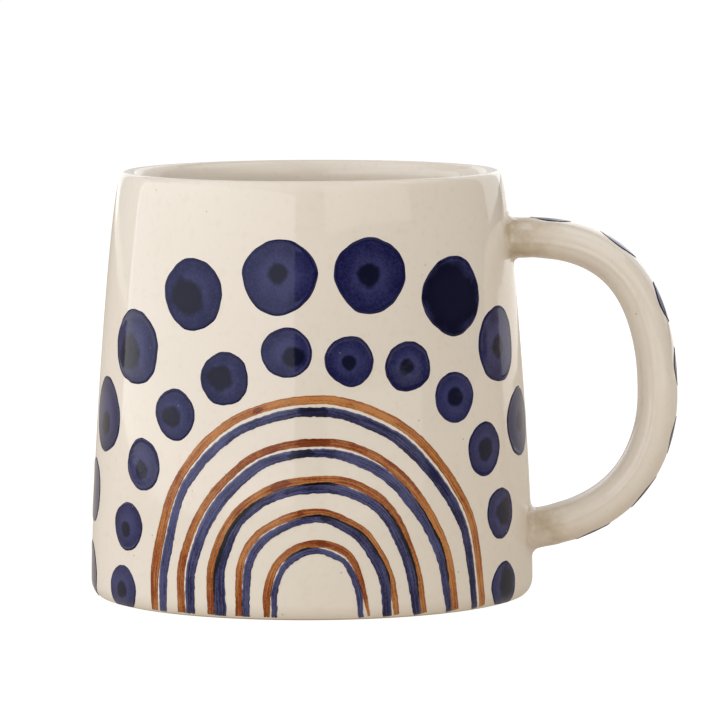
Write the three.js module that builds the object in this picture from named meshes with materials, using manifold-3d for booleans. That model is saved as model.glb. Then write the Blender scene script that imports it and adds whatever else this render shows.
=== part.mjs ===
// A stoneware mug with a strap handle, glazed cream and painted with cobalt dots and rainbow arches.
// Millimetres, +Z up. The origin is the centre of the flat base, and the handle points along +X.
import * as THREE from 'three';
import { mergeVertices } from 'three/addons/utils/BufferGeometryUtils.js';
import Module from 'manifold-3d';

const wasm = await Module();
wasm.setup();

// ---- Driving dimensions ----
const height = 95;
const baseRadius = 49.5;
const footRadius = 47.2;
const rimRadius = 43.2;
const lipRadius = 41.1;
const wall = 4.4;
const floorThickness = 6;
const floorCornerRadius = 8;

const glaze = 0.4;
const gap = 0.2;
const glazeLine = 1.6;
const turnedSides = 40;

const handleThickness = 8.9;
const handleWidth = 14;
const handleReach = 77.6;
const upperJointHeight = 79.9;
const lowerJointHeight = 14.4;
const handleSteps = 22;
const handleSides = 12;
const jointLength = 2;
const jointRoot = 6;
const jointFlare = 1.6;

const paint = 0.3;
const dotSides = 12;
const largeDotDiameter = 16.4;
const handleDotDiameter = 9.6;
const motifTurn = THREE.MathUtils.degToRad(4);
const strokeWidth = 2;
const strokePitch = 2.4;
// Half width and height of the five brown arches, from the outside in.
const arches = [[40.4, 48.2], [32.1, 38.9], [24.3, 30.9], [17.4, 24.3], [11, 17]];

// ---- Materials ----
const bareClay = new THREE.MeshStandardMaterial({ color: '#c9b594', roughness: 0.85, metalness: 0 });
const creamGlaze = new THREE.MeshStandardMaterial({ color: '#e9dfcf', roughness: 0.12, metalness: 0 });
const cobalt = new THREE.MeshStandardMaterial({ color: '#26264f', roughness: 0.15, metalness: 0 });
const ironBrown = new THREE.MeshStandardMaterial({ color: '#9a5629', roughness: 0.2, metalness: 0 });

const mug = new THREE.Group();

function add(name, geometry, material) {
  const mesh = new THREE.Mesh(geometry, material);
  mesh.name = name;
  mug.add(mesh);
}

// ---- Joining and cutting ----
function merged(geometry) {
  const bare = geometry.clone();
  bare.deleteAttribute('normal');
  bare.deleteAttribute('uv');
  return mergeVertices(bare);
}

function toManifold(geometry) {
  const bare = merged(geometry);
  return new wasm.Manifold(new wasm.Mesh({
    numProp: 3,
    vertProperties: new Float32Array(bare.attributes.position.array),
    triVerts: new Uint32Array(bare.index.array),
  }));
}

function fromManifold(solid) {
  const mesh = solid.getMesh();
  const geometry = new THREE.BufferGeometry();
  geometry.setAttribute('position', new THREE.BufferAttribute(mesh.vertProperties, 3));
  geometry.setIndex(new THREE.BufferAttribute(mesh.triVerts, 1));
  return geometry;
}

function cut(geometry, ...tools) {
  return fromManifold(tools.reduce((solid, tool) => solid.subtract(toManifold(tool)), toManifold(geometry)));
}

// ---- The turned wall ----
// An outline is a list of points (radius, height) that runs up the outside, over the lip and down the inside.
const point = (radius, z) => new THREE.Vector2(radius, z);

// The side is near upright above the foot and leans in towards the rim.
const side = new THREE.SplineCurve([
  point(baseRadius, 3),
  point(baseRadius - 0.1, 17),
  point(baseRadius - 1.2, 34),
  point(baseRadius - 2.7, 57),
  point(baseRadius - 4.5, 78),
  point(rimRadius, 90.5),
]).getPoints(7);

function arc(centreRadius, centreHeight, radiusX, radiusZ, from, to, steps) {
  const curve = new THREE.EllipseCurve(centreRadius, centreHeight, radiusX, radiusZ, from, to, to < from);
  return curve.getPoints(steps);
}

const lipHeight = height - side.at(-1).y;
const lipOutside = arc(lipRadius, side.at(-1).y, side.at(-1).x - lipRadius, lipHeight, 0, Math.PI / 2, 3);
const outside = [...side, ...lipOutside.slice(1)];

const innerRimRadius = rimRadius - wall;
const lipInside = arc(lipRadius, side.at(-1).y, lipRadius - innerRimRadius, lipHeight, Math.PI / 2, Math.PI, 3);
const innerSide = side.map((p) => point(p.x - wall, p.y)).reverse();
const cornerTop = floorThickness + floorCornerRadius;
const innerWall = innerSide.slice(1).filter((p) => p.y > cornerTop);
const innerBaseRadius = baseRadius - 0.1 - wall;
const floorCorner = arc(innerBaseRadius - floorCornerRadius, cornerTop, floorCornerRadius,
  floorCornerRadius, 0, -Math.PI / 2, 4);
const inside = [...lipInside, ...innerWall, ...floorCorner];

// Moves an outline into the clay by a distance, square to its own direction.
function inset(outline, distance) {
  return outline.map((p, i) => {
    const before = outline[Math.max(i - 1, 0)];
    const after = outline[Math.min(i + 1, outline.length - 1)];
    const along = after.clone().sub(before).normalize();
    return point(p.x - along.y * distance, p.y + along.x * distance);
  });
}

function turned(outline) {
  const geometry = new THREE.LatheGeometry(outline, turnedSides);
  geometry.rotateX(Math.PI / 2);
  return geometry;
}

// Radius of the glazed outside at a height.
function wallRadius(z) {
  const above = outside.findIndex((p) => p.y >= z);
  if (above <= 0) {
    return outside[0].x;
  }
  const low = outside[above - 1];
  const high = outside[above];
  return THREE.MathUtils.lerp(low.x, high.x, (z - low.y) / (high.y - low.y));
}

function stonewareBody() {
  const depth = glaze + gap;
  const innerFace = inset(inside, depth);
  return turned([
    point(0, 0),
    point(footRadius, 0),
    point(baseRadius - 1.2, glazeLine - gap),
    ...inset(outside, depth).slice(0, -1),
    point(lipRadius, height - depth),
    ...innerFace.slice(1, -1),
    point(innerFace.at(-1).x, floorThickness - depth),
    point(0, floorThickness - depth),
  ]);
}

// The outer coat starts above the bare foot and ends at the crest of the lip, where the liner begins.
function outerGlazeCoat() {
  const face = [point(baseRadius - 0.5, glazeLine), ...outside.slice(0, -1), point(lipRadius + gap / 2, height)];
  const back = inset(face, glaze);
  back[0] = point(face[0].x - glaze, glazeLine);
  back[back.length - 1] = point(lipRadius + gap / 2, height - glaze);
  return turned([...face, ...back.reverse(), face[0]]);
}

function linerGlazeCoat() {
  const face = [point(lipRadius - gap / 2, height), ...inside.slice(1)];
  const back = inset(face, glaze);
  back[0] = point(face[0].x, height - glaze);
  back[back.length - 1] = point(face.at(-1).x, floorThickness - glaze);
  return turned([
    point(0, floorThickness - glaze),
    ...back.reverse(),
    ...face,
    point(0, floorThickness),
  ]);
}

// ---- The handle ----
// The handle leaves the wall level below the rim, turns down and comes back in above the foot.
const handleTurnHeight = 44.3;
const handlePath = new THREE.CurvePath();
const handleTurn = new THREE.Vector3(handleReach, 0, handleTurnHeight);
handlePath.add(new THREE.CubicBezierCurve3(
  new THREE.Vector3(43, 0, upperJointHeight),
  new THREE.Vector3(53.7, 0, upperJointHeight),
  new THREE.Vector3(handleReach, 0, 82.5),
  handleTurn,
));
handlePath.add(new THREE.CubicBezierCurve3(
  handleTurn,
  new THREE.Vector3(handleReach, 0, 38.1),
  new THREE.Vector3(75.5, 0, 17.2),
  new THREE.Vector3(48, 0, lowerJointHeight),
));

// The strap's section is a rounded oblong: an oval whose power is above 2.
const sectionPower = 2.6;

function sectionPoint(angle, halfThickness, halfWidth) {
  const power = 2 / sectionPower;
  const x = Math.sign(Math.cos(angle)) * Math.abs(Math.cos(angle)) ** power * halfThickness;
  const y = Math.sign(Math.sin(angle)) * Math.abs(Math.sin(angle)) ** power * halfWidth;
  return point(x, y);
}

function sectionPoints(grow) {
  return Array.from({ length: handleSides }, (_, i) => sectionPoint(
    (i + 0.5) * 2 * Math.PI / handleSides,
    handleThickness / 2 + grow,
    handleWidth / 2 + grow,
  ));
}

// The stretch of the path between the two joint collars.
function pathPart(startRadius, endRadius) {
  const points = handlePath.getSpacedPoints(200);
  const first = points.findIndex((p) => p.x >= startRadius);
  const last = points.findLastIndex((p) => p.x >= endRadius);
  const between = points.slice(first, last + 1);
  return new THREE.CatmullRomCurve3(between);
}

const upperWall = wallRadius(upperJointHeight);
const lowerWall = wallRadius(lowerJointHeight);
const strapPath = pathPart(upperWall + jointLength + gap, lowerWall + jointLength + gap);

// Along the path, a section's X runs across the strap.
const sweptSection = (grow) => sectionPoints(grow).map((p) => point(p.y, p.x)).reverse();

function handleCore() {
  const section = new THREE.Shape(sweptSection(-glaze - gap));
  return new THREE.ExtrudeGeometry(section, { steps: handleSteps, extrudePath: strapPath });
}

function handleGlazeSleeve() {
  const section = new THREE.Shape(sweptSection(0));
  section.holes.push(new THREE.Path(sweptSection(-glaze)));
  return new THREE.ExtrudeGeometry(section, { steps: handleSteps, extrudePath: strapPath });
}

// A collar of clay smoothed round the end of the strap: it spreads where it meets the wall. Its root
// runs on into the wall, which is cut away from it afterwards.
function jointCollar(strapEnd, outwards, grow) {
  const length = jointLength + jointRoot;
  const section = new THREE.Shape(sectionPoints(0));
  const geometry = new THREE.ExtrudeGeometry(section, { steps: 6, depth: length, bevelEnabled: false });
  const position = geometry.attributes.position;
  for (let i = 0; i < position.count; i += 1) {
    const nearWall = Math.min(1, (length - position.getZ(i)) / jointLength);
    const spread = grow + jointFlare * nearWall ** 2;
    const across = point(position.getX(i), position.getY(i));
    across.setLength(across.length() + spread);
    position.setXY(i, across.x, across.y);
  }
  const sideways = new THREE.Vector3(0, 1, 0);
  const placed = new THREE.Matrix4().makeBasis(sideways.clone().cross(outwards), sideways, outwards);
  placed.setPosition(strapEnd.clone().addScaledVector(outwards, -length - gap));
  return geometry.applyMatrix4(placed);
}

const upperCollar = (grow) => jointCollar(strapPath.getPointAt(0), strapPath.getTangentAt(0), grow);
const lowerCollar = (grow) => jointCollar(strapPath.getPointAt(1), strapPath.getTangentAt(1).negate(), grow);

// What the clay wall fills, with a small gap all round it.
function wallCutter() {
  const face = inset(outside, glaze);
  return turned([point(0, -5), point(face[0].x, -5), ...face, point(0, height)]);
}

// ---- Painted marks ----
// Bends a flat mark round the wall. It is drawn with X along the wall, Y up and Z out from the glaze.
function wrapOnWall(geometry, turn) {
  const position = geometry.attributes.position;
  for (let i = 0; i < position.count; i += 1) {
    const z = Math.max(position.getY(i), glazeLine + gap);
    const surface = wallRadius(z);
    const angle = turn + position.getX(i) / surface;
    const radius = surface + gap + position.getZ(i);
    position.setXYZ(i, Math.sin(angle) * radius, -Math.cos(angle) * radius, z);
  }
  return geometry;
}

// A round brush mark, with a ring of points inside its edge so that it can bend.
function dot(diameter) {
  const r = diameter / 2;
  const outline = [point(0, 0), point(r / 2, 0), point(r, 0), point(r, paint), point(r / 2, paint), point(0, paint)];
  const geometry = new THREE.LatheGeometry(outline, dotSides);
  geometry.rotateX(Math.PI / 2);
  return geometry;
}

function wallDot(along, z, diameter, turn) {
  const geometry = dot(diameter);
  geometry.translate(along, z, 0);
  return wrapOnWall(geometry, turn);
}

// A brush stroke over half an ellipse that stands on the foot: a flat strip, bent over and round the wall.
function archStroke(halfWidth, archHeight, turn) {
  const steps = Math.round(halfWidth / 3.5) + 8;
  const geometry = new THREE.BoxGeometry(1, strokeWidth, paint, steps, 1, 1);
  const foot = glazeLine + gap;
  const position = geometry.attributes.position;
  for (let i = 0; i < position.count; i += 1) {
    const angle = (position.getX(i) + 0.5) * Math.PI;
    const across = position.getY(i);
    const along = (halfWidth - across) * Math.cos(angle);
    const z = foot + (archHeight - foot - across) * Math.sin(angle);
    position.setXYZ(i, along, z, position.getZ(i) + paint / 2);
  }
  return wrapOnWall(geometry, turn);
}

// A dot bent over the outer back of the strap, centred at a part of its length.
function handleDot(fraction) {
  const geometry = dot(handleDotDiameter);
  const position = geometry.attributes.position;
  const length = strapPath.getLength();
  for (let i = 0; i < position.count; i += 1) {
    const u = fraction + position.getX(i) / length;
    const across = position.getY(i);
    const centre = strapPath.getPointAt(u);
    const along = strapPath.getTangentAt(u);
    const ratio = Math.abs(across) / (handleWidth / 2);
    const skin = handleThickness / 2 * (1 - ratio ** sectionPower) ** (1 / sectionPower);
    const out = skin + gap + position.getZ(i);
    position.setXYZ(i, centre.x - along.z * out, across, centre.z + along.x * out);
  }
  return geometry;
}

// ---- Assembly ----
add('stoneware_body', stonewareBody(), bareClay);
add('outer_glaze_coat', cut(outerGlazeCoat(), upperCollar(gap), lowerCollar(gap)), creamGlaze);
add('liner_glaze_coat', linerGlazeCoat(), creamGlaze);
add('upper_handle_joint', cut(upperCollar(0), wallCutter()), bareClay);
add('lower_handle_joint', cut(lowerCollar(0), wallCutter()), bareClay);
add('handle', handleCore(), bareClay);
add('handle_glaze_sleeve', handleGlazeSleeve(), creamGlaze);

// Both faces carry the same rainbow and ring of dots, mirrored about the handle. The rings stop short of
// the lower joint, and opposite the handle they share one dot.
const faces = [
  { side: 'front', turn: motifTurn, mirror: 1, ringDots: 10 },
  { side: 'back', turn: Math.PI - motifTurn, mirror: -1, ringDots: 9 },
];
const ringRadius = 75.2;
const firstDotAngle = 34;
const dotAngleStep = 15.6;

for (const face of faces) {
  arches.forEach(([halfWidth, archHeight], i) => {
    const inner = [halfWidth - strokePitch, archHeight - strokePitch];
    add(`${face.side}_brown_arch_${i + 1}`, archStroke(halfWidth, archHeight, face.turn), ironBrown);
    add(`${face.side}_blue_arch_${i + 1}`, archStroke(...inner, face.turn), cobalt);
  });
  for (let i = 0; i < face.ringDots; i += 1) {
    const angle = THREE.MathUtils.degToRad(firstDotAngle + i * dotAngleStep);
    const along = face.mirror * ringRadius * Math.cos(angle);
    const z = ringRadius * Math.sin(angle);
    add(`${face.side}_large_dot_${i + 1}`, wallDot(along, z, largeDotDiameter, face.turn), cobalt);
  }
}

const handleDots = 7;
for (let i = 0; i < handleDots; i += 1) {
  add(`handle_dot_${i + 1}`, handleDot(0.1 + i * 0.8 / (handleDots - 1)), cobalt);
}

export default mug;
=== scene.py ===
"""A stoneware mug with cobalt dots and rainbow arches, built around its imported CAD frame. Metres, +Z up."""
import math
import random

import bmesh
import bpy
import numpy as np
from mathutils import Matrix, Vector, noise


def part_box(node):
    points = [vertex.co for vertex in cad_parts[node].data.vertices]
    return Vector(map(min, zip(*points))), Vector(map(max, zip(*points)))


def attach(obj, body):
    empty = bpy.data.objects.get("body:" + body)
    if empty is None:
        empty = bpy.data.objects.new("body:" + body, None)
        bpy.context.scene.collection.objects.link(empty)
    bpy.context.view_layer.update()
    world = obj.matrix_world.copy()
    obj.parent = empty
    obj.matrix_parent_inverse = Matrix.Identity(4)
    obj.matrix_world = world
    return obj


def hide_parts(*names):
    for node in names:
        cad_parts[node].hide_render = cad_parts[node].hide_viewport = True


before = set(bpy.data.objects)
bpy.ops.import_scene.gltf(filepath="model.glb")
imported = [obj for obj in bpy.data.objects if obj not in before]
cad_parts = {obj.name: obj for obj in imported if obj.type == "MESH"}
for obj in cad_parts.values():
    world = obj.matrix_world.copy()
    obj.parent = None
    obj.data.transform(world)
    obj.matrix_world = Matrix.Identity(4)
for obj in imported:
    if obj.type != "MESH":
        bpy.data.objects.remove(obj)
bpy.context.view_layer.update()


# ---- The studio -------------------------------------------------------------------------------
# A long-lens product set-up: a white table, a big softbox on the left, a low white bounce card on
# the right, a dark gap between them where the camera stands, and weaker panels behind and above.
MM = 0.001
CAMERA_DISTANCE = 1.288
CAMERA_HEIGHT = 0.1701
CAMERA_TURN = math.radians(3)
CAMERA_PITCH = math.radians(5.224)
CAMERA_YAW = math.radians(0.485)
CAMERA_ROLL = math.radians(-0.203)
CAMERA_LENS = 288.5

scene = bpy.context.scene
scene.view_settings.view_transform = "Standard"

camera_data = bpy.data.cameras.new("camera")
camera_data.lens = CAMERA_LENS
camera_data.sensor_width = 36
camera_data.clip_end = 50
camera = bpy.data.objects.new("camera", camera_data)
scene.collection.objects.link(camera)
camera.matrix_world = (
    Matrix.Rotation(CAMERA_TURN, 4, "Z")
    @ Matrix.Translation((0, -CAMERA_DISTANCE, CAMERA_HEIGHT))
    @ Matrix.Rotation(-CAMERA_YAW, 4, "Z")
    @ Matrix.Rotation(math.pi / 2 - CAMERA_PITCH, 4, "X")
    @ Matrix.Rotation(CAMERA_ROLL, 4, "Z")
)
scene.camera = camera


def paint_colour(code):
    """An sRGB hex colour as the linear RGBA that a shader takes."""
    channels = [int(code[i:i + 2], 16) / 255 for i in (1, 3, 5)]
    linear = [c / 12.92 if c <= 0.04045 else ((c + 0.055) / 1.055) ** 2.4 for c in channels]
    return (*linear, 1)


def add_node(tree, kind, inputs=None, **settings):
    """Adds a node, changes its settings, and gives each named or numbered input a value or a link."""
    node = tree.nodes.new(kind)
    for name, value in settings.items():
        setattr(node, name, value)
    for socket, value in (inputs or {}).items():
        if isinstance(value, bpy.types.NodeSocket):
            tree.links.new(value, node.inputs[socket])
        else:
            node.inputs[socket].default_value = value
    return node


def softbox(name, turn, distance, low, high, width, strength, tint="#ffffff"):
    """An upright soft panel that faces the mug. Turn is measured from the camera, towards the handle."""
    light_data = bpy.data.lights.new(name, "AREA")
    light_data.shape = "RECTANGLE"
    light_data.size, light_data.size_y = width, high - low
    light_data.color = paint_colour(tint)[:3]
    light_data.energy = strength * width * (high - low) * math.pi
    light = bpy.data.objects.new(name, light_data)
    angle = math.radians(turn) + CAMERA_TURN
    light.location = (distance * math.sin(angle), -distance * math.cos(angle), (low + high) / 2)
    light.rotation_euler = (math.pi / 2, 0, angle)
    light.visible_camera = False
    scene.collection.objects.link(light)
    return light


softbox("softbox_left", -65, 0.64, 0, 0.5, 1.9, 1.4, "#f7fbff")
softbox("softbox_left_upper", -55, 0.64, 0.5, 1.1, 1.27, 0.55, "#f7fbff")
softbox("softbox_left_rear", -145, 0.8, 0.06, 0.5, 0.8, 0.48)
softbox("softbox_rear", 180, 1, 0.06, 0.9, 1, 0.6)
softbox("card_right", 34, 0.9, 0, 0.09, 0.88, 0.8, "#fffefa")
softbox("softbox_right_upper", 34, 0.9, 0.24, 1.2, 0.88, 0.9, "#fffcf6")
softbox("card_right_rear", 148, 0.9, 0, 0.06, 0.8, 0.7)
softbox("softbox_right_rear", 148, 0.9, 0.12, 0.9, 0.8, 0.75)
for name, offset, strength in (("overhead_left", -0.6, 0.3), ("overhead_right", 0.6, 0.95)):
    overhead = softbox(name, 90, offset, 0.7, 1.5, 0.8, strength)
    overhead.rotation_euler = (Vector((0, 0, 0.05)) - overhead.location).to_track_quat("-Z", "Y").to_euler()

# The room is pale to the eye and to soft fill, but dark where a glaze would mirror it.
world = bpy.data.worlds.new("studio")
scene.world = world
world.use_nodes = True
world.node_tree.nodes.clear()
ray = add_node(world.node_tree, "ShaderNodeLightPath")
seen = add_node(world.node_tree, "ShaderNodeMix", {
    0: ray.outputs["Is Glossy Ray"],
    2: 0.43,
    3: 0.1,
}, data_type="FLOAT")
strength = add_node(world.node_tree, "ShaderNodeMix", {
    0: ray.outputs["Is Camera Ray"],
    2: seen.outputs[0],
    3: 1.0,
}, data_type="FLOAT")
room = add_node(world.node_tree, "ShaderNodeBackground", {"Strength": strength.outputs[0]})
room.inputs["Color"].default_value = (1, 1, 1, 1)
add_node(world.node_tree, "ShaderNodeOutputWorld", {"Surface": room.outputs[0]})

# The table is matt white laminate, lit until it is all but white to the eye.
TABLE_SIZE = 60
table_mesh = bpy.data.meshes.new("table")
half = TABLE_SIZE / 2
table_mesh.from_pydata(
    [(-half, -half, 0), (half, -half, 0), (half, half, 0), (-half, half, 0)], [], [(0, 1, 2, 3)])
table = bpy.data.objects.new("table", table_mesh)
scene.collection.objects.link(table)
table_white = bpy.data.materials.new("matt_white_laminate")
table_white.use_nodes = True
table_white.node_tree.nodes.clear()
glow_ray = add_node(table_white.node_tree, "ShaderNodeLightPath")
glow = add_node(table_white.node_tree, "ShaderNodeMix", {
    0: glow_ray.outputs["Is Camera Ray"],
    6: paint_colour("#b0a697"),
    7: paint_colour("#fbfbfb"),
}, data_type="RGBA")
laminate = add_node(table_white.node_tree, "ShaderNodeBsdfPrincipled", {
    "Base Color": paint_colour("#6a6866"),
    "Roughness": 0.9,
    "Specular IOR Level": 0.1,
    "Emission Color": glow.outputs[2],
    "Emission Strength": 1.0,
})
add_node(table_white.node_tree, "ShaderNodeOutputMaterial", {"Surface": laminate.outputs[0]})
table_mesh.materials.append(table_white)


# ---- The turned cup ---------------------------------------------------------------------------
# The cup is jiggered: clay pressed in a spinning mould to a thick, even wall with a rounded lip.
# It is dipped in an opaque cream glaze, which runs down to just above the wiped foot.
cup_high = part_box("outer_glaze_coat")[1]
floor_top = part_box("liner_glaze_coat")[0].z + 0.4 * MM
HEIGHT = cup_high.z
BASE_RADIUS = cup_high.y
CREST_RADIUS = 41.1 * MM
RIM_RADIUS = 43.35 * MM
LIP_HEIGHT = 4.5 * MM
WALL = 4.4 * MM
FOOT_RADIUS = 46.9 * MM
FOOT_CORNER = 3.6 * MM
GLAZE_EDGE = 0.35 * MM
FLOOR_CORNER = 8 * MM
CUP_SIDES = 288


def quarter(centre, radii, start, stop, steps):
    """Points (radius, height) on part of an ellipse, with its angles in quarter turns."""
    angles = np.linspace(start, stop, steps + 1) * math.pi / 2
    return [(centre[0] + radii[0] * math.cos(a), centre[1] + radii[1] * math.sin(a)) for a in angles]


def bend(p0, p1, p2, p3, steps):
    """Points on a cubic curve from p0 to p3."""
    t = np.linspace(0, 1, steps + 1)[:, None]
    p0, p1, p2, p3 = (np.array(p, float) for p in (p0, p1, p2, p3))
    return (1 - t) ** 3 * p0 + 3 * (1 - t) ** 2 * t * p1 + 3 * (1 - t) * t * t * p2 + t ** 3 * p3


rim_height = HEIGHT - LIP_HEIGHT
side = [tuple(p) for p in bend(
    (BASE_RADIUS, FOOT_CORNER),
    (BASE_RADIUS, FOOT_CORNER + 22 * MM),
    (RIM_RADIUS + 2.2 * MM, rim_height - 11.7 * MM),
    (RIM_RADIUS, rim_height),
    70,
)]
corner_width = BASE_RADIUS - FOOT_RADIUS
inner_rim = RIM_RADIUS - WALL
corner_top = floor_top + FLOOR_CORNER
inner_side = [(r - WALL, z) for r, z in reversed(side) if z > corner_top]
foot_corner = [p for p in quarter((FOOT_RADIUS, FOOT_CORNER), (corner_width, FOOT_CORNER), -1, 0, 24)
               if p[1] > GLAZE_EDGE + 0.1 * MM]
toe_radius = foot_corner[0][0]
glaze_toe = [(0, GLAZE_EDGE), (toe_radius - 0.5 * MM, GLAZE_EDGE), (toe_radius - 0.15 * MM, GLAZE_EDGE)]
outer_lip = [tuple(p) for p in bend(
    (RIM_RADIUS, rim_height),
    (RIM_RADIUS - 0.6 * MM, rim_height + 3.2 * MM),
    (CREST_RADIUS + 1.3 * MM, HEIGHT),
    (CREST_RADIUS, HEIGHT),
    16,
)]
inner_lip = [tuple(p) for p in bend(
    (CREST_RADIUS, HEIGHT),
    (CREST_RADIUS - 1.3 * MM, HEIGHT),
    (inner_rim - 0.5 * MM, rim_height + 2.6 * MM),
    (inner_rim, rim_height),
    16,
)]
cup_outline = (
    glaze_toe
    + foot_corner[:-1]
    + side[:-1]
    + outer_lip[:-1]
    + inner_lip
    + inner_side[1:]
    + quarter((BASE_RADIUS - WALL - FLOOR_CORNER, corner_top), (FLOOR_CORNER, FLOOR_CORNER), 0, -1, 14)
    + [(r, floor_top) for r in np.linspace(34, 0, 12) * MM]
)


def new_object(name, data):
    """A new object in the scene, at the origin."""
    obj = bpy.data.objects.new(name, data)
    scene.collection.objects.link(obj)
    return obj


def outline_curve(name, points):
    """A drawn outline, with radius along X and height along Z."""
    curve = bpy.data.curves.new(name, "CURVE")
    curve.dimensions = "3D"
    spline = curve.splines.new("POLY")
    spline.points.add(len(points) - 1)
    for knot, (r, z) in zip(spline.points, points):
        knot.co = (r, 0, z, 1)
    return new_object(name, curve)


def new_tree(name, inputs):
    """A geometry tree with named inputs, each a socket type by name."""
    tree = bpy.data.node_groups.new(name, "GeometryNodeTree")
    tree.interface.new_socket("Geometry", in_out="INPUT", socket_type="NodeSocketGeometry")
    for label, kind in inputs.items():
        tree.interface.new_socket(label, in_out="INPUT", socket_type="NodeSocket" + kind)
    tree.interface.new_socket("Geometry", in_out="OUTPUT", socket_type="NodeSocketGeometry")
    return tree, add_node(tree, "NodeGroupInput").outputs


def maths(tree, operation, *values, clamp=False):
    """The outcome of one Math node."""
    node = add_node(tree, "ShaderNodeMath", dict(enumerate(values)), operation=operation, use_clamp=clamp)
    return node.outputs[0]


def close_tree(tree, geometry, material):
    """Ends a tree: real geometry in place of instances, smooth shading, and its material."""
    real = add_node(tree, "GeometryNodeRealizeInstances", {0: geometry}).outputs[0]
    smooth = add_node(tree, "GeometryNodeSetShadeSmooth", {0: real, "Shade Smooth": True}).outputs[0]
    coated = add_node(tree, "GeometryNodeSetMaterial", {0: smooth, "Material": material}).outputs[0]
    add_node(tree, "NodeGroupOutput", {0: coated})


def grow(name, base, tree, values):
    """Runs a tree on a mesh or curve and keeps the result as a plain mesh object."""
    source = new_object(name + "_source", base)
    modifier = source.modifiers.new("tree", "NODES")
    modifier.node_group = tree
    for item in tree.interface.items_tree:
        if item.in_out == "INPUT" and item.name in values:
            modifier[item.identifier] = values[item.name]
    source.update_tag()
    depsgraph = bpy.context.evaluated_depsgraph_get()
    mesh = bpy.data.meshes.new_from_object(source.evaluated_get(depsgraph), depsgraph=depsgraph)
    bpy.data.objects.remove(source)
    mesh.name = name
    return new_object(name, mesh)


def turning_tree():
    """Turns an outline round the upright axis, as a potter's wheel does."""
    tree, given = new_tree("turn_on_wheel", {"Outline": "Object", "Sides": "Int", "Glaze": "Material"})
    here = add_node(tree, "GeometryNodeInputPosition").outputs[0]
    outline = add_node(tree, "GeometryNodeObjectInfo", {"Object": given["Outline"]}).outputs["Geometry"]
    knots = add_node(tree, "GeometryNodeCurveToPoints", {"Curve": outline}, mode="EVALUATED").outputs[0]
    counted = add_node(tree, "GeometryNodeAttributeDomainSize", {0: knots}, component="POINTCLOUD")
    count = counted.outputs["Point Count"]
    sheet = add_node(tree, "GeometryNodeMeshGrid", {
        "Size X": 1.0,
        "Size Y": 1.0,
        "Vertices X": maths(tree, "ADD", given["Sides"], 1),
        "Vertices Y": count,
    })
    place = add_node(tree, "ShaderNodeSeparateXYZ", {0: here})
    share = maths(tree, "ADD", place.outputs[1], 0.5)
    row = maths(tree, "MULTIPLY", share, maths(tree, "SUBTRACT", count, 1))
    knot = add_node(tree, "GeometryNodeSampleIndex", {
        "Geometry": knots,
        "Value": here,
        "Index": maths(tree, "ROUND", row),
    }, data_type="FLOAT_VECTOR")
    spun = add_node(tree, "ShaderNodeVectorRotate", {
        "Vector": knot.outputs[0],
        "Angle": maths(tree, "MULTIPLY", place.outputs[0], 2 * math.pi),
    }, rotation_type="Z_AXIS")
    lathed = add_node(tree, "GeometryNodeSetPosition", {
        "Geometry": sheet.outputs["Mesh"],
        "Position": spun.outputs[0],
    })
    closed = add_node(tree, "GeometryNodeMergeByDistance", {0: lathed.outputs[0], "Distance": 1e-6})
    close_tree(tree, closed.outputs[0], given["Glaze"])
    return tree


def new_material(name):
    """An empty material, and the tree to fill."""
    material = bpy.data.materials.new(name)
    material.use_nodes = True
    material.node_tree.nodes.clear()
    return material, material.node_tree


def glossy_coat(tree, colour, height, relief, shine=0.5):
    """Ends a material as fired glaze: clear, hard and glassy, over a height pattern in metres."""
    dents = add_node(tree, "ShaderNodeBump", {"Height": height, "Distance": relief})
    coat = add_node(tree, "ShaderNodeBsdfPrincipled", {
        "Base Color": colour,
        "Roughness": 0.06,
        "IOR": 1.52,
        "Specular IOR Level": shine,
        "Normal": dents.outputs[0],
    })
    add_node(tree, "ShaderNodeOutputMaterial", {"Surface": coat.outputs[0]})


def noise_of(tree, place, size, detail):
    """Cloudy noise with features of a size in metres."""
    node = add_node(tree, "ShaderNodeTexNoise", {"Vector": place, "Scale": 1 / size, "Detail": detail})
    return node.outputs[0]


def remapped(tree, value, start, stop, low=0.0, high=1.0, ease="LINEAR"):
    """A value carried from one range to another and held at its ends."""
    return add_node(tree, "ShaderNodeMapRange", {
        "Value": value,
        "From Min": start,
        "From Max": stop,
        "To Min": low,
        "To Max": high,
    }, interpolation_type=ease).outputs[0]


def tinted(tree, share, first, second):
    """The first colour where the share is 0, the second where it is 1. Each is a code or a link."""
    ends = [paint_colour(end) if isinstance(end, str) else end for end in (first, second)]
    mix = add_node(tree, "ShaderNodeMix", {0: share, 6: ends[0], 7: ends[1]}, data_type="RGBA")
    return mix.outputs[2]


def cells(tree, place, spacing, radius, share):
    """Round spots: one to a cell, of a radius in metres, in a share of the cells."""
    grid = add_node(tree, "ShaderNodeTexVoronoi", {"Vector": place, "Scale": 1 / spacing})
    near = remapped(tree, grid.outputs["Distance"], radius / spacing, 0.4 * radius / spacing)
    lot = add_node(tree, "ShaderNodeSeparateColor", {0: grid.outputs["Color"]})
    return maths(tree, "MULTIPLY", near, maths(tree, "LESS_THAN", lot.outputs[0], share))


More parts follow.
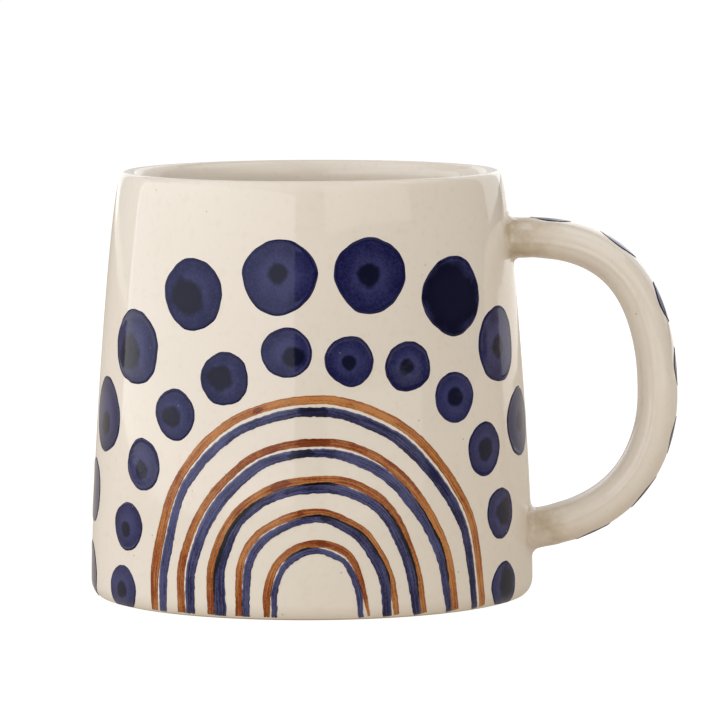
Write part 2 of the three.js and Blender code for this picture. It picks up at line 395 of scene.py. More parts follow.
def cream_glaze():
    """Cream tin-opacified stoneware glaze, dipped and fired to a gloss. It is not quite even: faint warm
    clouds 30 mm across, iron specks of 0.2 mm from the clay, pinholes, and tan where it pools thick."""
    material, tree = new_material("cream_stoneware_glaze")
    place = add_node(tree, "ShaderNodeTexCoord").outputs["Object"]
    body = tinted(tree, noise_of(tree, place, 0.03, 3.0), "#f0e6da", "#e7dccd")
    grain = remapped(tree, noise_of(tree, place, 0.0018, 2.0), 0.55, 0.75, 0.0, 0.25)
    grained = tinted(tree, grain, body, "#dccdb6")
    pooled = add_node(tree, "ShaderNodeAttribute", attribute_name="pooled").outputs["Fac"]
    patches = remapped(tree, noise_of(tree, place, 0.004, 3.0), 0.35, 0.65, 0.12, 0.8)
    tanned = tinted(tree, maths(tree, "MULTIPLY", pooled, patches), grained, "#bda888")
    specks = cells(tree, place, 0.0042, 0.00028, 0.4)
    speckled = tinted(tree, maths(tree, "MULTIPLY", specks, 0.55), tanned, "#8f7450")
    pinholes = cells(tree, place, 0.0075, 0.0002, 0.5)
    surface = maths(tree, "SUBTRACT", noise_of(tree, place, 0.009, 1.0), pinholes)
    glossy_coat(tree, speckled, surface, 0.00006)
    return material


cream = cream_glaze()
outline = outline_curve("cup_outline", cup_outline)
wheel = turning_tree()
cup = grow("glazed_cup", bpy.data.meshes.new("clay"), wheel, {
    "Outline": outline,
    "Sides": CUP_SIDES,
    "Glaze": cream,
})
bpy.data.objects.remove(outline)
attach(cup, "root")
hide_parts("outer_glaze_coat", "liner_glaze_coat")


# ---- The bare foot ----------------------------------------------------------------------------
# The cup's own clay shows where the glaze is wiped off its flat base so that it doesn't stick in
# the kiln. It is buff stoneware, dry and slightly sandy to the touch.
def bare_clay():
    """Buff stoneware fired bare: matt, with sand grains of 0.6 mm."""
    material, tree = new_material("bare_buff_stoneware")
    place = add_node(tree, "ShaderNodeTexCoord").outputs["Object"]
    sand = noise_of(tree, place, 0.0006, 4.0)
    clay = add_node(tree, "ShaderNodeBsdfPrincipled", {
        "Base Color": tinted(tree, sand, "#d8c6a4", "#b39a74"),
        "Roughness": 0.85,
        "Normal": add_node(tree, "ShaderNodeBump", {"Height": sand, "Distance": 0.0001}).outputs[0],
    })
    add_node(tree, "ShaderNodeOutputMaterial", {"Surface": clay.outputs[0]})
    return material


FOOT_TOP = 1.6 * MM
FOOT_SIDES = 192
FOOT_INSET = 0.25 * MM
foot_edge = [p for p in quarter((FOOT_RADIUS, FOOT_CORNER), (corner_width, FOOT_CORNER), -1, 0, 40)
             if p[1] < FOOT_TOP]
foot_outline = (
    [(r, 0) for r in np.linspace(0, FOOT_RADIUS, 16)]
    + [(r - FOOT_INSET, z) for r, z in foot_edge[1:]]
    + [(foot_edge[-1][0] - 2 * MM, FOOT_TOP), (0, FOOT_TOP)]
)
outline = outline_curve("foot_outline", foot_outline)
foot = grow("bare_foot", bpy.data.meshes.new("clay"), wheel, {
    "Outline": outline,
    "Sides": FOOT_SIDES,
    "Glaze": bare_clay(),
})
bpy.data.objects.remove(outline)
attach(foot, "root")
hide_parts("stoneware_body")


# ---- The strap handle -------------------------------------------------------------------------
# A strap of clay is pressed, bent and luted to the wall with slip. The joints are smoothed with a
# finger into small hollow fillets, where the glaze pools thick and tan and has a few bumps.
STRAP_THICKNESS = 8.9 * MM
STRAP_WIDTH = 14 * MM
STRAP_POWER = 2.3
UPPER_JOINT = 79.9 * MM
LOWER_JOINT = 14.4 * MM
FILLET = 1.7 * MM
STRAP_RINGS = 150
JOINT_RINGS = 12
STRAP_POINTS = 120
SEAM_PLACE = -0.6 * MM
SEAM_RISE = 0.26 * MM
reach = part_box("handle_glaze_sleeve")[1].x - STRAP_THICKNESS / 2

strap_path = np.vstack([
    bend((43 * MM, UPPER_JOINT), (53.7 * MM, UPPER_JOINT), (reach, 82.5 * MM), (reach, 44.3 * MM), 400),
    bend((reach, 44.3 * MM), (reach, 38.1 * MM), (75.5 * MM, 17.2 * MM), (48 * MM, LOWER_JOINT), 400)[1:],
])
side_radii, side_heights = np.array(side).T


def wall_radius(z):
    """The outer radius of the cup at a height."""
    return np.interp(z, side_heights, side_radii)


def strap_between(start_gap, end_gap, count):
    """Evenly spaced places (x, z) and headings along the strap, between gaps from the wall."""
    off_wall = strap_path[:, 0] - wall_radius(strap_path[:, 1])
    upper = np.argmax(off_wall > start_gap)
    lower = len(off_wall) - 1 - np.argmax(off_wall[::-1] > end_gap)
    run = strap_path[upper:lower + 1]
    steps = np.linalg.norm(np.diff(run, axis=0), axis=1)
    length = np.concatenate([[0], np.cumsum(steps)])
    even = np.linspace(0, length[-1], count)
    places = np.column_stack([np.interp(even, length, run[:, 0]), np.interp(even, length, run[:, 1])])
    headings = np.gradient(places, axis=0)
    headings /= np.linalg.norm(headings, axis=1)[:, None]
    return places, headings, length[-1]


def strap_section(grow_by=0.0):
    """Points (out, across) round the strap's section, moved out square to its skin. A low seam down
    each side is left from the press mould."""
    a = np.arange(STRAP_POINTS) * 2 * math.pi / STRAP_POINTS
    power = 2 / STRAP_POWER
    out = np.sign(np.cos(a)) * np.abs(np.cos(a)) ** power * STRAP_THICKNESS / 2
    across = np.sign(np.sin(a)) * np.abs(np.sin(a)) ** power * STRAP_WIDTH / 2
    seam = SEAM_RISE * np.exp(-((out - SEAM_PLACE) / (0.45 * MM)) ** 2)
    points = np.column_stack([out, across + np.sign(across) * seam])
    along = np.roll(points, -1, axis=0) - np.roll(points, 1, axis=0)
    normals = np.column_stack([along[:, 1], -along[:, 0]]) / np.linalg.norm(along, axis=1)[:, None]
    return points + normals * np.reshape(grow_by, (-1, 1))


def ring_at(place, heading, section):
    """A section set square across the path: heading and place are (x, z)."""
    outwards = np.array([-heading[1], 0, heading[0]])
    centre = np.array([place[0], 0, place[1]])
    return centre + section[:, :1] * outwards + section[:, 1:] * np.array([0, 1, 0])


def joint_ring(place, heading, leaving, grow_by, height):
    """A ring round a joint: grown from the strap's section and set at a height off the curved wall.
    leaving is the direction (x, z) in which the strap leaves the wall."""
    ring = ring_at(place, heading, strap_section(grow_by))
    away = np.array([leaving[0], 0, leaving[1]])
    near, far = np.full(len(ring), -9 * MM), np.full(len(ring), 6 * MM)
    for _ in range(40):
        middle = (near + far) / 2
        at = ring + middle[:, None] * away
        inside = np.hypot(at[:, 0], at[:, 1]) < wall_radius(at[:, 2])
        near, far = np.where(inside, middle, near), np.where(inside, far, middle)
    return ring + (near + height)[:, None] * away


def fillet_rings(place, heading, leaving):
    """Rings from inside the wall, out through a hollow quarter round, to the straight of the strap."""
    buried = ((0.0, -1.6 * MM), (FILLET, -1.2 * MM), (FILLET + 1.3 * MM, -0.1 * MM))
    rings = [joint_ring(place, heading, leaving, spread, height) for spread, height in buried]
    for turn in np.linspace(0, 1, JOINT_RINGS - len(buried)) * math.pi / 2:
        spread = FILLET * (1 - math.sin(turn))
        rings.append(joint_ring(place, heading, leaving, spread, FILLET * (1 - math.cos(turn))))
    return rings


places, headings, strap_length = strap_between(2.6 * MM, 2.6 * MM, STRAP_RINGS)
rings = fillet_rings(places[0], headings[0], headings[0])
rings += [ring_at(p, h, strap_section()) for p, h in zip(places, headings)]
rings += reversed(fillet_rings(places[-1], headings[-1], -headings[-1]))
from_wall = np.concatenate([
    np.zeros(JOINT_RINGS),
    np.linspace(0, strap_length, STRAP_RINGS),
    np.full(JOINT_RINGS, strap_length),
])


def tube_faces(ring_count, points):
    """Quads between rings, and a flat cap on each end."""
    faces = []
    for i in range(ring_count - 1):
        for j in range(points):
            k = (j + 1) % points
            faces.append((i * points + j, i * points + k, (i + 1) * points + k, (i + 1) * points + j))
    faces.append(tuple(reversed(range(points))))
    faces.append(tuple((ring_count - 1) * points + j for j in range(points)))
    return faces


def set_attribute(mesh, name, values, kind="FLOAT"):
    """Stores a value for each point, for a material to read."""
    attribute = mesh.attributes.new(name, kind, "POINT")
    key = "vector" if kind == "FLOAT_VECTOR" else "value"
    attribute.data.foreach_set(key, np.asarray(values, np.float32).ravel())


def finish_mesh(name, vertices, faces, material):
    """A smooth mesh object whose faces are turned to point outwards."""
    mesh = bpy.data.meshes.new(name)
    mesh.from_pydata([tuple(v) for v in vertices], [], faces)
    work = bmesh.new()
    work.from_mesh(mesh)
    bmesh.ops.recalc_face_normals(work, faces=work.faces)
    work.to_mesh(mesh)
    work.free()
    mesh.shade_smooth()
    mesh.materials.append(material)
    return new_object(name, mesh)


strap_vertices = np.vstack(rings)
strap = finish_mesh("strap_handle", strap_vertices, tube_faces(len(rings), STRAP_POINTS), cream)
joint_distance = np.minimum(from_wall, strap_length - from_wall)
pooled = np.repeat(np.exp(-(joint_distance / (6 * MM)) ** 2), STRAP_POINTS)
set_attribute(strap.data, "pooled", pooled)
BUMP = 0.16 * MM
WAVE = 0.12 * MM
for vertex, thick in zip(strap.data.vertices, pooled):
    bumps = noise.noise(vertex.co / (2.6 * MM)) * BUMP * thick
    waves = noise.noise(vertex.co / (14 * MM)) * WAVE * (1 - thick)
    vertex.co += vertex.normal * (bumps + waves)

cup_points = np.array([v.co for v in cup.data.vertices])
cup_pooled = np.zeros(len(cup_points))
outside = np.hypot(cup_points[:, 0], cup_points[:, 1]) > wall_radius(cup_points[:, 2]) - MM
# The same pooling tans the outside of the wall in an oval round each joint.
for joint in (UPPER_JOINT, LOWER_JOINT):
    oval = (np.abs(cup_points[:, 1]) / (STRAP_WIDTH / 2)) ** STRAP_POWER
    oval += (np.abs(cup_points[:, 2] - joint) / (STRAP_THICKNESS / 2)) ** STRAP_POWER
    beyond = (oval ** (1 / STRAP_POWER) - 1) * 5 * MM
    near_joint = np.exp(-(np.maximum(beyond, 0) / (2.4 * MM)) ** 2) * outside * (cup_points[:, 0] > 0)
    cup_pooled = np.maximum(cup_pooled, near_joint)
set_attribute(cup.data, "pooled", cup_pooled)

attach(strap, "root")
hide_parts("handle", "handle_glaze_sleeve", "upper_handle_joint", "lower_handle_joint")


# ---- The painted wall -------------------------------------------------------------------------
# The cup is painted by hand with loaded brushes: rings of cobalt dots, each pressed down and lifted
# off, round a rainbow of brown and blue strokes. The paint stands a tenth of a millimetre proud.
RAY_REACH = 90 * MM


def laying_tree():
    """Lays flat marks on the turned wall. A mark is drawn with X along the wall, Y up and Z off it."""
    tree, given = new_tree("lay_on_wall", {
        "Cup": "Object",
        "Turn": "Float",
        "Lowest": "Float",
        "Paint": "Material",
    })
    cup_shape = add_node(tree, "GeometryNodeObjectInfo", {"Object": given["Cup"]})
    here = add_node(tree, "GeometryNodeInputPosition").outputs[0]
    along, up, off = add_node(tree, "ShaderNodeSeparateXYZ", {0: here}).outputs
    height = maths(tree, "MAXIMUM", up, given["Lowest"])
    outside = add_node(tree, "ShaderNodeCombineXYZ", {0: 0.0, 1: -RAY_REACH, 2: height})
    touch = add_node(tree, "GeometryNodeRaycast", {
        "Target Geometry": cup_shape.outputs["Geometry"],
        "Source Position": outside.outputs[0],
        "Ray Direction": (0.0, 1.0, 0.0),
        "Ray Length": RAY_REACH,
    })
    wall = touch.outputs["Hit Position"]
    lift = add_node(tree, "ShaderNodeVectorMath", {
        0: touch.outputs["Hit Normal"],
        3: off,
    }, operation="SCALE")
    lifted = add_node(tree, "ShaderNodeVectorMath", {0: wall, 1: lift.outputs[0]}, operation="ADD")
    level = add_node(tree, "ShaderNodeVectorMath", {0: wall, 1: (1.0, 1.0, 0.0)}, operation="MULTIPLY")
    radius = add_node(tree, "ShaderNodeVectorMath", {0: level.outputs[0]}, operation="LENGTH")
    sweep = maths(tree, "DIVIDE", along, radius.outputs["Value"])
    bent = add_node(tree, "ShaderNodeVectorRotate", {
        "Vector": lifted.outputs[0],
        "Angle": maths(tree, "ADD", sweep, given["Turn"]),
    }, rotation_type="Z_AXIS")
    laid = add_node(tree, "GeometryNodeSetPosition", {
        "Geometry": given["Geometry"],
        "Position": bent.outputs[0],
    })
    close_tree(tree, laid.outputs[0], given["Paint"])
    return tree


laying = laying_tree()
PAINT_DEPTH = -0.3 * MM
PAINT_FILM = 0.09 * MM
PAINT_RIM = 0.05 * MM
PAINT_LOWEST = 0.5 * MM
FRONT_TURN = math.radians(3)
BACK_TURN = math.pi - FRONT_TURN


def joined(parts):
    """One flat mesh from parts of (vertices, faces, attributes by name)."""
    vertices, faces, offset = [], [], 0
    for part_vertices, part_faces, _ in parts:
        vertices.append(part_vertices)
        faces += [tuple(i + offset for i in face) for face in part_faces]
        offset += len(part_vertices)
    mesh = bpy.data.meshes.new("flat_marks")
    mesh.from_pydata([tuple(v) for v in np.vstack(vertices)], [], faces)
    for name in parts[0][2]:
        values = np.vstack([attributes[name] for _, _, attributes in parts])
        set_attribute(mesh, name, values, "FLOAT_VECTOR")
    return mesh


DOT_RINGS = [0, 0.15, 0.3, 0.45, 0.6, 0.72, 0.82, 0.88, 0.92, 0.95, 0.975, 0.99, 1.0]
DOT_SIDES = 72
# Waves round a dot's edge, and each one's share of its radius.
DOT_WAVES = {2: 0.02, 3: 0.018, 4: 0.012, 5: 0.009, 7: 0.007, 11: 0.005, 17: 0.004}


def brush_dot(along, height, size, pool, dice):
    """A closed disc with a wavering edge and a raised rim. Its pool, given as its place and radius in
    shares of the disc's radius, is where the loaded tip first touched."""
    angles = np.arange(DOT_SIDES) * 2 * math.pi / DOT_SIDES
    edge = np.ones(DOT_SIDES)
    for waves, amount in DOT_WAVES.items():
        edge += amount * np.sin(waves * angles + dice.uniform(0, 6.28)) * dice.uniform(0.5, 1.2)
    rings = np.array(DOT_RINGS)
    film = PAINT_FILM + PAINT_RIM * np.exp(-((rings - 0.93) / 0.035) ** 2)
    film[-3:] = PAINT_FILM * 0.8, PAINT_FILM * 0.35, -PAINT_FILM
    unit = [(0.0, 0.0)]
    lift = [film[0]]
    for ring, off in zip(rings[1:], film[1:]):
        unit += list(zip(ring * np.cos(angles), ring * np.sin(angles)))
        lift += [off] * DOT_SIDES
    unit.append((0.0, 0.0))
    lift.append(PAINT_DEPTH)
    unit = np.array(unit)
    around = np.concatenate([[1], np.tile(edge, len(rings) - 1), [1]])
    radius = size / 2 * around
    vertices = np.column_stack([along + unit[:, 0] * radius, height + unit[:, 1] * radius, lift])
    faces = [(0, 1 + j, 1 + (j + 1) % DOT_SIDES) for j in range(DOT_SIDES)]
    for i in range(len(rings) - 2):
        a, b = 1 + i * DOT_SIDES, 1 + (i + 1) * DOT_SIDES
        for j in range(DOT_SIDES):
            k = (j + 1) % DOT_SIDES
            faces.append((a + j, b + j, b + k, a + k))
    last, centre = 1 + (len(rings) - 2) * DOT_SIDES, len(unit) - 1
    faces += [(last + (j + 1) % DOT_SIDES, last + j, centre) for j in range(DOT_SIDES)]
    return vertices, faces, {
        "brush": np.column_stack([unit, np.full(len(unit), dice.random())]),
        "pool": np.column_stack([(unit - pool[:2]) / pool[2], np.zeros(len(unit))]),
    }


def cobalt_dots():
    """Cobalt oxide brushed thick under the glaze: near black where it pooled, palest just round that,
    inkier outwards to a dark rim, grainy at half a millimetre, with a few pale specks: painted glints
    at pinholes."""
    material, tree = new_material("brushed_cobalt")
    place = add_node(tree, "ShaderNodeTexCoord").outputs["Object"]
    brush = add_node(tree, "ShaderNodeAttribute", attribute_name="brush").outputs["Vector"]
    pool = add_node(tree, "ShaderNodeAttribute", attribute_name="pool").outputs["Vector"]
    cloud = noise_of(tree, place, 0.004, 3.0)
    mottle = maths(tree, "ADD", noise_of(tree, place, 0.0005, 2.0), cloud)
    shake = remapped(tree, cloud, 0.25, 0.75, -0.2, 0.2)
    reach_in = add_node(tree, "ShaderNodeVectorMath", {0: pool}, operation="LENGTH").outputs["Value"]
    pooled_in = remapped(tree, maths(tree, "ADD", reach_in, shake), 1.25, 0.8, ease="SMOOTHSTEP")
    level = add_node(tree, "ShaderNodeVectorMath", {0: brush, 1: (1.0, 1.0, 0.0)}, operation="MULTIPLY")
    reach_out = add_node(tree, "ShaderNodeVectorMath", {0: level.outputs[0]}, operation="LENGTH")
    settled = remapped(tree, reach_out.outputs["Value"], 0.3, 0.8, 0.0, 0.55, "SMOOTHSTEP")
    rim = remapped(tree, reach_out.outputs["Value"], 0.86, 0.94, 0.0, 0.35, "SMOOTHSTEP")
    speckled = remapped(tree, mottle, 0.75, 1.3, 0.25, -0.25)
    dip = add_node(tree, "ShaderNodeSeparateXYZ", {0: brush}).outputs[2]
    load = remapped(tree, dip, 0.0, 1.0, -0.15, 0.3)
    loaded = maths(tree, "ADD", maths(tree, "ADD", settled, rim), load)
    ink = tinted(tree, maths(tree, "ADD", loaded, speckled, clamp=True), "#3c3d69", "#151542")
    heart = tinted(tree, maths(tree, "MULTIPLY", pooled_in, 0.88), ink, "#04051a")
    # Pale specks 0.12 mm in radius, in a sixth of the 2.1 mm cells, are painted glints: light caught at
    # pinholes.
    glint_specked = tinted(tree, cells(tree, place, 0.0021, 0.00012, 0.16), heart, "#b9b9d2")
    glossy_coat(tree, glint_specked, cloud, 0.00003, 0.22)
    return material


# Along the wall from the rainbow's middle, up from the base, width, then the pool: along and up from
# the dot's middle, and its radius. All in millimetres.
LARGE_DOTS = [
    (-72.8, 5.5, 14.5, 0, 0, 2.4), (-70.6, 24.3, 14.8, -1, -1, 2.6),
    (-59.7, 41.9, 16.4, 0, -2, 2.6), (-45.6, 57.8, 16.7, -2, -1.4, 3.9),
    (-27.5, 70.3, 15.6, -1.3, -0.6, 4), (-6.9, 74.5, 16.5, -0.4, 0.8, 2.2),
    (13.1, 74.7, 16.4, -0.4, -0.2, 2.6), (34.1, 69.4, 17.4, -0.7, -0.2, 7.9),
    (50.3, 57.8, 16.7, -0.2, -0.3, 2.4), (61.5, 39.8, 15.6, 0, 0, 2.4),
]
SMALL_DOTS = [
    (-49.9, 4.3, 10.9, 0, 0, 1.9), (-47.7, 18.4, 10.9, -0.6, -0.6, 1.7), (-42.2, 32.4, 11.4, -0.5, -1.3, 2),
    (-32.3, 44, 11.2, -0.9, -0.5, 2.5), (-19.5, 52.3, 11.6, -1, 0, 2.9), (-5.4, 58.2, 11.1, 1.4, -0.7, 2.3),
    (8.3, 56.3, 10.9, -0.2, -0.3, 1.5), (21.8, 54.7, 11.1, -0.5, 0, 1.8), (34.2, 47.4, 11.3, -0.2, 0, 2.1),
    (43.8, 35.4, 11.8, 0, 0, 2.6), (49.7, 20.8, 11.2, 1.2, 0, 3), (50.9, 4.5, 10.8, 1, 0.5, 3.4),
]
cobalt = cobalt_dots()


def paint_dots(name, dots, turn, mirror, seed):
    """One ring of dots on the wall, turned to a side of the cup."""
    dice = random.Random(seed)
    parts = [
        brush_dot(mirror * s * MM, z * MM, size * MM, np.array([mirror * x, y, r]) / (size / 2), dice)
        for s, z, size, x, y, r in dots
    ]
    return grow(name, joined(parts), laying, {
        "Cup": cup,
        "Turn": turn,
        "Lowest": PAINT_LOWEST,
        "Paint": cobalt,
    })


# The two rings meet opposite the handle and share the dot there, so the back leaves it out.
ring_pieces = {
    "front": (paint_dots("front_large_dots", LARGE_DOTS, FRONT_TURN, 1, 3), 10),
    "back": (paint_dots("back_large_dots", LARGE_DOTS[1:], BACK_TURN, -1, 5), 9),
}
for face, (piece, count) in ring_pieces.items():
    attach(piece, "root")
    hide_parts(*[f"{face}_large_dot_{i + 1}" for i in range(count)])
for piece in (
    paint_dots("front_small_dots", SMALL_DOTS, FRONT_TURN, 1, 7),
    paint_dots("back_small_dots", SMALL_DOTS, BACK_TURN, -1, 9),
):
    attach(piece, "root")


# ---- The rainbow ------------------------------------------------------------------------------
# Five brown strokes of iron slip, each with a blue one drawn inside it, from foot to foot with a
# small round brush. Strokes waver, swell, thin out, and are darker where the brush went over twice.
# Where a blue stroke runs over its brown one, the two make a black line.
# Each row is a place down the brown stroke's middle, from the left foot over the crown to the right
# foot: along, up, brown width, gap (less than none for an overlap), blue width. In millimetres.
RAINBOW = [
    [
        (-38.3, 0.4, 2, 0.5, 2), (-37.4, 13, 2.7, 0.15, 2.4), (-31, 30, 2.1, 0.3, 1.9),
        (-17, 43.5, 1.8, 0.6, 2), (1, 48.1, 1.9, 0.65, 2.1), (16, 44.2, 2, 0.6, 2.4),
        (28, 35.2, 2, 0.6, 2.6), (38.8, 20, 2.1, 0.5, 2.4), (42.3, 0.6, 2, 0.6, 1.8),
    ],
    [
        (-30.4, 0.6, 2.2, 0, 2.4), (-30.1, 12, 2, 0.35, 2.5), (-24, 25, 1.75, 0.3, 2.6),
        (-12.5, 35.8, 1.7, 0.35, 2.1), (1, 38.9, 1.75, 0.45, 1.9), (12, 36.5, 1.85, 0.25, 2.3),
        (22, 28.9, 2.1, -0.15, 2.5), (30.9, 15, 2.2, -0.55, 2.4), (33.8, 0.6, 2, 0, 1.6),
    ],
    [
        (-23, 0.6, 1.75, 0, 2.9), (-22.3, 12, 2.5, -0.9, 2.8), (-16.9, 22.6, 2.5, -1, 2.3),
        (-8, 29.2, 1.8, 0.05, 1.9), (2, 30.7, 1.9, -0.45, 2.4), (10, 29.4, 1.9, 0.1, 2.1),
        (17.4, 24, 1.9, -0.45, 2.3), (23.1, 12.5, 1.7, -0.75, 2.6), (25.6, 0.6, 1.5, 0.1, 2),
    ],
    [
        (-16.3, 0.6, 1.7, -0.15, 1.8), (-15.8, 12, 1.65, 0.1, 1.7), (-12, 18.6, 1.6, 0.1, 1.75),
        (-5, 22.6, 1.7, 0, 1.6), (1.5, 23.7, 1.8, -0.5, 1.8), (7, 22, 1.6, -0.45, 2),
        (12.5, 18.2, 1.6, -0.45, 2.4), (17.2, 10, 1.45, -0.4, 2.4), (18.8, 0.6, 1.4, 0.4, 2.1),
    ],
    [
        (-10, 0.6, 1.35, 0.3, 1.2), (-9.8, 7, 1.8, 0.1, 1.35), (-7.6, 12.6, 1.6, 0.2, 1.35),
        (-3.5, 15.8, 1.9, -0.5, 1.7), (1.5, 16.9, 1.7, 0.1, 1.2), (6, 15.7, 1.7, 0.3, 1.3),
        (8.9, 13.2, 1.6, 0.2, 1.3), (11.1, 7, 1.2, -0.1, 1.4), (12.5, 0.6, 0.5, 0.9, 1.2),
    ],
]
# How thick the slip lies, from a thin wash at 0 to a heavy coat at 1, at five even places.
BROWN_TONES = [(0.8, 0.35, 0.15, 0.45, 0.2), (0.75, 0.4, 0.95, 0.35, 0.3), (0.85, 0.4, 0.5, 0.55, 0.3),
               (0.9, 0.4, 0.7, 0.6, 0.3), (0.7, 0.55, 0.6, 0.8, 0.4)]
BLUE_TONES = [(0.35, 0.3, 0.8, 0.75, 0.9), (0.8, 0.35, 0.6, 0.35, 0.5), (0.8, 0.6, 0.6, 0.5, 0.85),
              (0.4, 0.4, 0.7, 0.6, 0.95), (0.3, 0.4, 0.35, 0.35, 0.3)]
# Where the brush went over the crown a second time: from and to, along the wall.
BROWN_LAPS = [(-13, -10.5), (-4, 4.5), (-9.7, -4.3), (-4, -1.4), (0.5, 4)]
BLUE_LAPS = [(-3.4, 4), (-5.5, 1), (-6.2, -4.4), (1.5, 4.2), (-6, -5)]
STROKE_ACROSS = [-1, -0.97, -0.9, -0.75, -0.5, -0.2, 0.2, 0.5, 0.75, 0.9, 0.97, 1]
STROKE_STEP = 0.4
BROWN_FILM = 0.07 * MM
BLUE_FILM = 0.12 * MM


def wobble(at, seed):
    """Smooth noise from -1 to 1 along a line, for a column of places."""
    return np.array([noise.noise(Vector((x, seed * 17.3, 0.5))) for x in at])


def smooth_run(rows):
    """A smooth curve through evenly counted rows: its values at even distances, and each distance."""
    rows = np.array(rows, float)
    padded = np.vstack([2 * rows[0] - rows[1], rows, 2 * rows[-1] - rows[-2]])
    run = []
    for before, start, end, after in zip(padded, padded[1:], padded[2:], padded[3:]):
        t = np.linspace(0, 1, 60, endpoint=False)[:, None]
        square = (2 * before - 5 * start + 4 * end - after) * t ** 2
        cube = (3 * start - before - 3 * end + after) * t ** 3
        run.append(0.5 * (2 * start + (end - before) * t + square + cube))
    run = np.vstack(run + [rows[-1:]])
    distance = np.concatenate([[0], np.cumsum(np.linalg.norm(np.diff(run[:, :2], axis=0), axis=1))])
    even = np.linspace(0, distance[-1], int(distance[-1] / STROKE_STEP) + 1)
    return np.column_stack([np.interp(even, distance, column) for column in run.T]), even


def brush_stroke(middle, edges, at, tones, lap, film, under, seed):
    """A closed strip between two edges, each given as a distance inwards from a middle line. The
    inner edge of a stroke that lies under it is given the same way."""
    inner, outer = edges
    heading = np.gradient(middle, axis=0)
    heading /= np.linalg.norm(heading, axis=1)[:, None]
    inwards = np.column_stack([heading[:, 1], -heading[:, 0]])
    across = np.array(STROKE_ACROSS)
    profile = film * (0.6 + 0.4 * (1 - across ** 4))
    profile += 0.025 * MM * np.exp(-((np.abs(across) - 0.85) / 0.1) ** 2)
    profile[0] = profile[-1] = -0.04 * MM
    share = at / at[-1]
    tone = np.interp(share, np.linspace(0, 1, len(tones)), tones)
    lap_middle, lap_half = (lap[0] + lap[1]) / 2 * MM, (lap[1] - lap[0]) / 2 * MM
    vertices, brush, coat = [], [], []
    for i in range(len(at)):
        for j, side_share in enumerate(across):
            off = (inner[i] + outer[i]) / 2 + side_share * (inner[i] - outer[i]) / 2
            x, y = middle[i] + inwards[i] * off
            if i in (0, len(at) - 1):
                y -= 0.6 * MM * noise.noise(Vector((side_share * 2.3, seed, i)))
            vertices.append((x, y, -0.04 * MM if i in (0, len(at) - 1) else profile[j]))
            brush.append((at[i], side_share, seed))
            lapped = lap_half - abs(x - lap_middle)
            crossed = under[i] - off if under is not None else -9 * MM
            coat.append((tone[i], lapped / MM, crossed / MM))
    columns = len(across)
    faces = []
    for i in range(len(at) - 1):
        a, b = i * columns, (i + 1) * columns
        faces += [(a + j, a + j + 1, b + j + 1, b + j) for j in range(columns - 1)]
        faces.append((a, b, b + columns - 1, a + columns - 1))
    faces.append(tuple(reversed(range(columns))))
    faces.append(tuple((len(at) - 1) * columns + j for j in range(columns)))
    return np.array(vertices), faces, {"brush": np.array(brush), "coat": np.array(coat)}


def brush_pair(rows, tones, laps, mirror, seed):
    """A brown stroke, and the blue one drawn along inside it."""
    run, at = smooth_run(rows)
    run *= MM
    at *= MM
    sway = np.column_stack([wobble(at / (9 * MM), seed + k) for k in range(2)])
    middle = run[:, :2] + 0.12 * MM * sway
    rough = [
        0.11 * MM * (wobble(at / (5 * MM), seed + 2 + k) + wobble(at / (0.85 * MM), seed + 12 + k))
        for k in range(4)
    ]
    brown_edges = (run[:, 2] / 2 + rough[1], -run[:, 2] / 2 + rough[0])
    blue_start = run[:, 2] / 2 + run[:, 3]
    blue_edges = (blue_start + run[:, 4] + 1.6 * rough[3], blue_start + 1.3 * rough[2])
    brown = brush_stroke(middle, brown_edges, at, tones[0], laps[0], BROWN_FILM, None, seed + 5)
    blue = brush_stroke(middle, blue_edges, at, tones[1], laps[1], BLUE_FILM, brown_edges[0], seed + 6)
    if mirror < 0:
        for vertices, faces, _ in (brown, blue):
            vertices[:, 0] *= -1
            faces[:] = [tuple(reversed(face)) for face in faces]
    return brown, blue


def brushed_slip(name, thin, full, heavy, edge, edge_tone_and_highlight_share):
    """Slip drawn out by a bristle brush: streaks 0.3 mm wide along the stroke, from a thin wash to a
    full coat, heaviest where a second coat laps the first or where it lies on another colour."""
    material, tree = new_material(name)
    place = add_node(tree, "ShaderNodeTexCoord").outputs["Object"]
    brush = add_node(tree, "ShaderNodeAttribute", attribute_name="brush").outputs["Vector"]
    coat = add_node(tree, "ShaderNodeAttribute", attribute_name="coat").outputs["Vector"]
    tone, lap, over = add_node(tree, "ShaderNodeSeparateXYZ", {0: coat}).outputs
    side = add_node(tree, "ShaderNodeSeparateXYZ", {0: brush}).outputs[1]
    drawn = add_node(tree, "ShaderNodeVectorMath", {
        0: brush,
        1: (1 / 0.009, 4.5, 31.7),
    }, operation="MULTIPLY").outputs[0]
    streaks = noise_of(tree, drawn, 1.0, 4.0)
    streaky = remapped(tree, streaks, 0.32, 0.68, -0.5, 0.5)
    grainy = remapped(tree, noise_of(tree, place, 0.00045, 2.0), 0.3, 0.7, -0.22, 0.22)
    blotchy = remapped(tree, noise_of(tree, place, 0.004, 1.0), 0.3, 0.7, -0.2, 0.2)
    laid = maths(tree, "ADD", maths(tree, "ADD", tone, streaky), grainy)
    wash = tinted(tree, maths(tree, "ADD", laid, blotchy, clamp=True), thin, full)
    # Each stroke's outer edge takes the edge colour. On the iron slip it is a darker rim of the slip itself.
    # On the cobalt slip it is a pale line, a painted highlight standing for light caught on the raised edge.
    edge_toned_and_highlit = tinted(tree, remapped(tree, side, -0.55, -0.9, 0.0, edge_tone_and_highlight_share), wash, edge)
    tip = maths(tree, "MULTIPLY", maths(tree, "ABSOLUTE", side), -1.3)
    ragged = maths(tree, "ADD", maths(tree, "ADD", lap, tip), streaky)
    lapped = tinted(tree, remapped(tree, ragged, -0.1, 0.15, 0.0, 0.75), edge_toned_and_highlit, heavy)
    crossed = tinted(tree, remapped(tree, over, -0.1, 0.06), lapped, "#0a0706")
    glossy_coat(tree, crossed, streaks, 0.00003, 0.32)
    return material


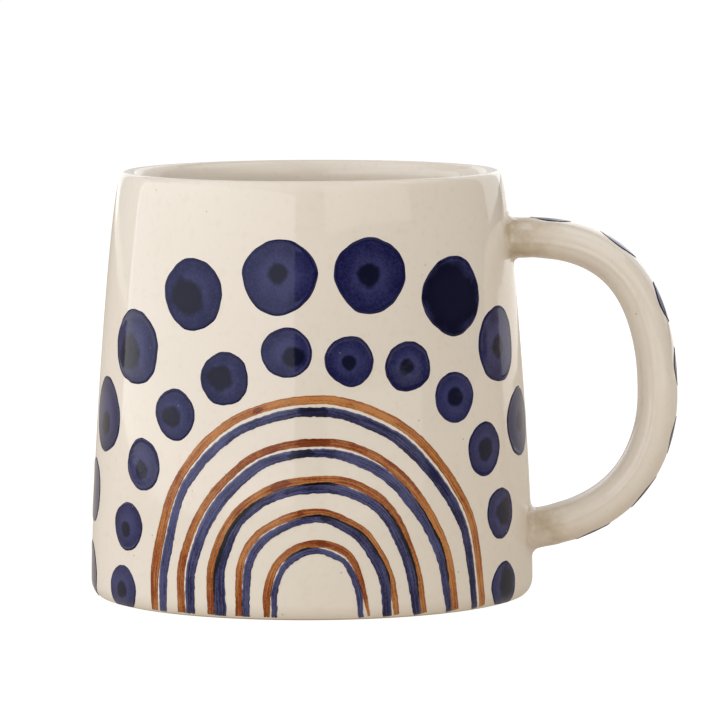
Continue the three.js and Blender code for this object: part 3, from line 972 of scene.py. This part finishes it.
iron_slip = brushed_slip("brushed_iron_slip", "#c3834a", "#7f3407", "#6d2803", "#733408", 0.35)
# The cobalt slip's pale edge colour, #7c80a2, is a painted highlight along each stroke's outer edge.
cobalt_slip = brushed_slip("brushed_cobalt_slip", "#51537e", "#14143f", "#02021c", "#7c80a2", 0.45)
slips = {"brown": (iron_slip, "iron_brown"), "blue": (cobalt_slip, "cobalt_blue")}
for face, turn, mirror, first_seed in (("front", FRONT_TURN, 1, 20), ("back", BACK_TURN, -1, 220)):
    pairs = []
    for i, rows in enumerate(RAINBOW):
        tones = (BROWN_TONES[i], BLUE_TONES[i])
        laps = (BROWN_LAPS[i], BLUE_LAPS[i])
        pairs.append(brush_pair(rows, tones, laps, mirror, first_seed + 20 * i))
    for strokes, (colour, (slip, slot)) in zip(zip(*pairs), slips.items()):
        piece = grow(f"{face}_{colour}_arches", joined(strokes), laying, {
            "Cup": cup,
            "Turn": turn,
            "Lowest": PAINT_LOWEST,
            "Paint": slip,
        })
        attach(piece, "root")
        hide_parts(*[f"{face}_{colour}_arch_{i + 1}" for i in range(len(RAINBOW))])


# ---- The handle's dots ------------------------------------------------------------------------
# The same brush leaves a line of smaller dots down the outer back of the strap.
# Share of the way down the strap, then the distance across it and the width, in millimetres.
HANDLE_DOTS = [
    (0.06, 0.9, 8.4),
    (0.206, 0.6, 8.4),
    (0.35, 0, 8.8),
    (0.492, 0.4, 8.4),
    (0.638, 0, 7.8),
    (0.767, 0, 8),
    (0.9, 0, 8),
]


def strap_skin(across):
    """How far the strap's outer skin stands off its middle line, at a distance across it."""
    ratio = np.minimum(np.abs(across) / (STRAP_WIDTH / 2), 0.98)
    return STRAP_THICKNESS / 2 * (1 - ratio ** STRAP_POWER) ** (1 / STRAP_POWER)


dice = random.Random(11)
parts = []
places_at = np.linspace(0, strap_length, STRAP_RINGS)
for share, aside, size in HANDLE_DOTS:
    pool = np.array([dice.uniform(-0.1, 0.1), dice.uniform(-0.1, 0.1), dice.uniform(0.28, 0.4)])
    flat, faces, attributes = brush_dot(share * strap_length, aside * MM, size * MM, pool, dice)
    centre = np.column_stack([np.interp(flat[:, 0], places_at, places[:, k]) for k in (0, 1)])
    heading = np.column_stack([np.interp(flat[:, 0], places_at, headings[:, k]) for k in (0, 1)])
    off = strap_skin(flat[:, 1]) + flat[:, 2]
    x = centre[:, 0] - heading[:, 1] * off
    z = centre[:, 1] + heading[:, 0] * off
    parts.append((np.column_stack([x, flat[:, 1], z]), faces, attributes))
handle_dots = new_object("handle_dots", joined(parts))
handle_dots.data.shade_smooth()
handle_dots.data.materials.append(cobalt)
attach(handle_dots, "root")
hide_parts(*[f"handle_dot_{i + 1}" for i in range(len(HANDLE_DOTS))])
